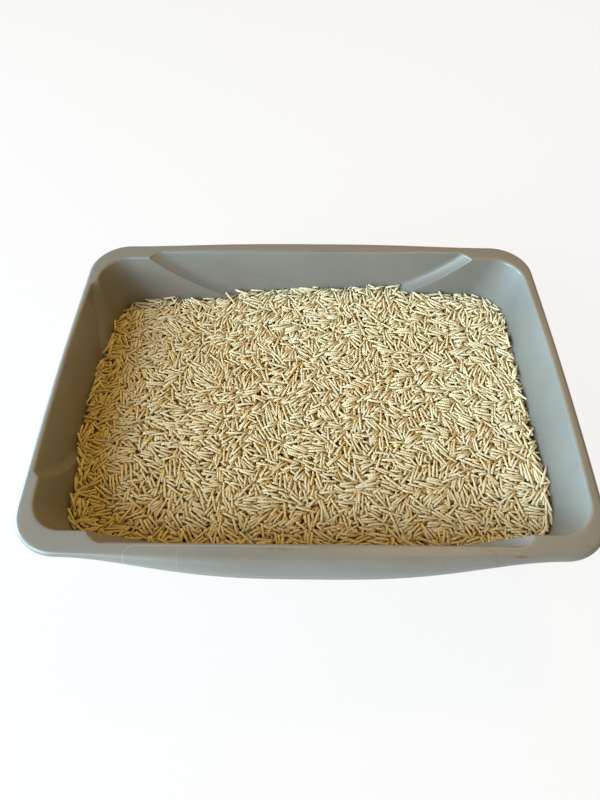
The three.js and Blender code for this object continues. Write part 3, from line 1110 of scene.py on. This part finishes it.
def litter_fibre():
    material, tree, fibre = new_material("litter_fibre")
    place = object_place(tree)
    tint_and_sunk_shade = add_node(tree, "ShaderNodeAttribute", {"attribute_name": "tint_and_sunk_shade"}).outputs["Fac"]
    tone = mottle(tree, place, clouds=14.0, specks=900.0, speck_share=0.3)
    uneven = product(tree, math_node(tree, "SUBTRACT", tone, 0.5), ROD_UNEVEN)
    mixed = math_node(tree, "ADD", tint_and_sunk_shade, uneven)
    # Colour from tan to cream by the stored value: random tone plus painted shade on the deeper rods
    colour = colour_mix(tree, span(tree, mixed, 0.0, CREAM_TINT, 0.0, 1.0, soft=False), ROD_TAN_AND_SHADE, ROD_CREAM)
    tree.links.new(colour, fibre.inputs["Base Color"])
    grain = add_node(tree, "ShaderNodeTexNoise", Vector=place, Scale=ROD_GRAIN, Detail=3.0)
    add_bump(tree, fibre, grain.outputs["Fac"], strength=0.15, distance=0.1)
    tree.links.new(span(tree, tone, *TONE_SPAN, *ROD_ROUGH), fibre.inputs["Roughness"])
    fibre.inputs["Diffuse Roughness"].default_value = 1.0
    return material


def shaded_packed_litter():
    material, tree, packed = new_material("shaded_packed_litter")
    place = object_place(tree)
    tone = mottle(tree, place, clouds=140.0, specks=600.0, speck_share=0.5)
    # Painted shade: the lower body takes dark colours that stand for the shadowed gaps between rods
    colour = colour_mix(tree, span(tree, tone, *PACKED_SPAN, 0.0, 1.0), PACKED_SHADE_DARK, PACKED_SHADE_LIGHT)
    tree.links.new(colour, packed.inputs["Base Color"])
    packed.inputs["Roughness"].default_value = 0.9
    add_bump(tree, packed, tone, strength=0.8, distance=1.5)
    return material


# Studio

PHOTO_SIZE = (600, 800)
FOCAL_PIXELS = 612.0
CAMERA_PITCH = math.radians(54.0)
CAMERA_YAW = math.radians(-0.85)
CAMERA_ROLL = math.radians(0.25)
CAMERA_SPOT = Vector((-4.0, -350.9, 565.7)) * MM
SENSOR = 36.0
NEAREST = 0.01


def place_camera():
    level = math.cos(CAMERA_PITCH)
    forward = Vector((math.sin(CAMERA_YAW) * level, math.cos(CAMERA_YAW) * level, -math.sin(CAMERA_PITCH)))
    right = Vector((math.cos(CAMERA_YAW), -math.sin(CAMERA_YAW), 0))
    down = forward.cross(right)
    turned_right = right * math.cos(CAMERA_ROLL) + down * math.sin(CAMERA_ROLL)
    turned_down = down * math.cos(CAMERA_ROLL) - right * math.sin(CAMERA_ROLL)
    lens = bpy.data.cameras.new("photo_camera")
    lens.sensor_width = SENSOR
    lens.lens = SENSOR * FOCAL_PIXELS / max(PHOTO_SIZE)
    lens.clip_start = NEAREST
    camera = add_object("photo_camera", lens)
    turn = Matrix((turned_right, -turned_down, -forward)).transposed().to_4x4()
    camera.matrix_world = Matrix.Translation(CAMERA_SPOT) @ turn
    bpy.context.scene.camera = camera


# Lamps by name, place, width and height in metres, watts and colour, all aimed at the tray's mouth
LAMPS = (
    ("window_upper", (-1.35, -1.1, 1.0), (1.2, 1.2), 58.0, (0.72, 0.87, 1.0)),
    ("window_lower", (-1.7, -1.0, 0.45), (1.0, 0.7), 20.0, (0.32, 0.80, 1.0)),
    ("window_side", (-1.9, 0.15, 0.27), (1.0, 0.28), 62.0, (0.48, 0.75, 1.0)),
    ("ceiling_lamp", (0.5, 0.9, 1.7), (0.3, 0.3), 10.0, (1.0, 0.60, 0.15)),
)
ROOM_WARM = (1.0, 0.60, 0.13, 1)
ROOM_STRENGTH = 0.31
ROOM_PALE = (0.97, 0.98, 0.98, 1)
ROOM_MIRRORED = 0.48


def area_lamp(name, spot, size, watts, colour):
    lamp = bpy.data.lights.new(name, "AREA")
    lamp.shape = "RECTANGLE"
    lamp.size, lamp.size_y = size
    lamp.energy = watts
    lamp.color = colour
    holder = add_object(name, lamp)
    direction = Vector((0, 0, HEIGHT * MM)) - Vector(spot)
    turn = direction.to_track_quat("-Z", "Y").to_matrix().to_4x4()
    holder.matrix_world = Matrix.Translation(Vector(spot)) @ turn


def mix_to_output(tree, share, first, second, output):
    mixed = add_node(tree, "ShaderNodeMixShader", Fac=share)
    tree.links.new(first, mixed.inputs[1])
    tree.links.new(second, mixed.inputs[2])
    tree.links.new(mixed.outputs["Shader"], tree.nodes[output].inputs["Surface"])


def light_studio():
    """Cool windows at the left and a warm lamp behind, in a warm room that shows white and mirrors grey."""
    for lamp in LAMPS:
        area_lamp(*lamp)
    world = bpy.data.worlds.new("room")
    world.use_nodes = True
    tree = world.node_tree
    room = tree.nodes["Background"]
    room.inputs["Color"].default_value = ROOM_WARM
    room.inputs["Strength"].default_value = ROOM_STRENGTH
    straight = add_node(tree, "ShaderNodeLightPath").outputs["Is Camera Ray"]
    pale = math_node(tree, "MULTIPLY_ADD", straight, 1 - ROOM_MIRRORED, ROOM_MIRRORED)
    seen = add_node(tree, "ShaderNodeBackground", Color=ROOM_PALE, Strength=pale).outputs["Background"]
    mix_to_output(tree, seen_ray(tree), room.outputs["Background"], seen, "World Output")
    bpy.context.scene.world = world


def seen_ray(tree):
    """One for rays that the camera sees, straight or mirrored, and none for rays that only give light."""
    path = add_node(tree, "ShaderNodeLightPath")
    seen = math_node(tree, "MAXIMUM", path.outputs["Is Camera Ray"], path.outputs["Is Glossy Ray"])
    return math_node(tree, "MAXIMUM", seen, path.outputs["Is Transmission Ray"])


FLOOR_SPAN = 6.0
FLOOR_DROP = 0.2 * MM
FLOOR_WHITE = 0.86
FLOOR_PAINT = (0.7, 0.7, 0.7, 1)


def lay_floor():
    """Plain white floor that keeps a soft shadow and looks white to the camera and in reflections."""
    material, tree, paint = new_material("studio_floor")
    paint.inputs["Base Color"].default_value = FLOOR_PAINT
    paint.inputs["Roughness"].default_value = 0.9
    paint.inputs["Specular IOR Level"].default_value = 0.0
    glow = add_node(tree, "ShaderNodeEmission", Color=(1, 1, 1, 1), Strength=1.0)
    share = product(tree, seen_ray(tree), FLOOR_WHITE)
    mix_to_output(tree, share, paint.outputs["BSDF"], glow.outputs["Emission"], "Material Output")
    half = FLOOR_SPAN / 2 / MM
    drop = -FLOOR_DROP / MM
    corners = [(-half, -half, drop), (half, -half, drop), (half, half, drop), (-half, half, drop)]
    new_piece("studio_floor", corners, [(0, 1, 2, 3)], material)


place_camera()
light_studio()
lay_floor()

tray = build_tray(tray_plastic())
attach(tray, "root")
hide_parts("tray")

litter = [build_lower_litter(shaded_packed_litter())] + build_loose_litter(litter_fibre())
for piece in litter:
    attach(piece, "root")
    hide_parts("litter_bed")

bpy.context.scene.view_settings.view_transform = "Standard"
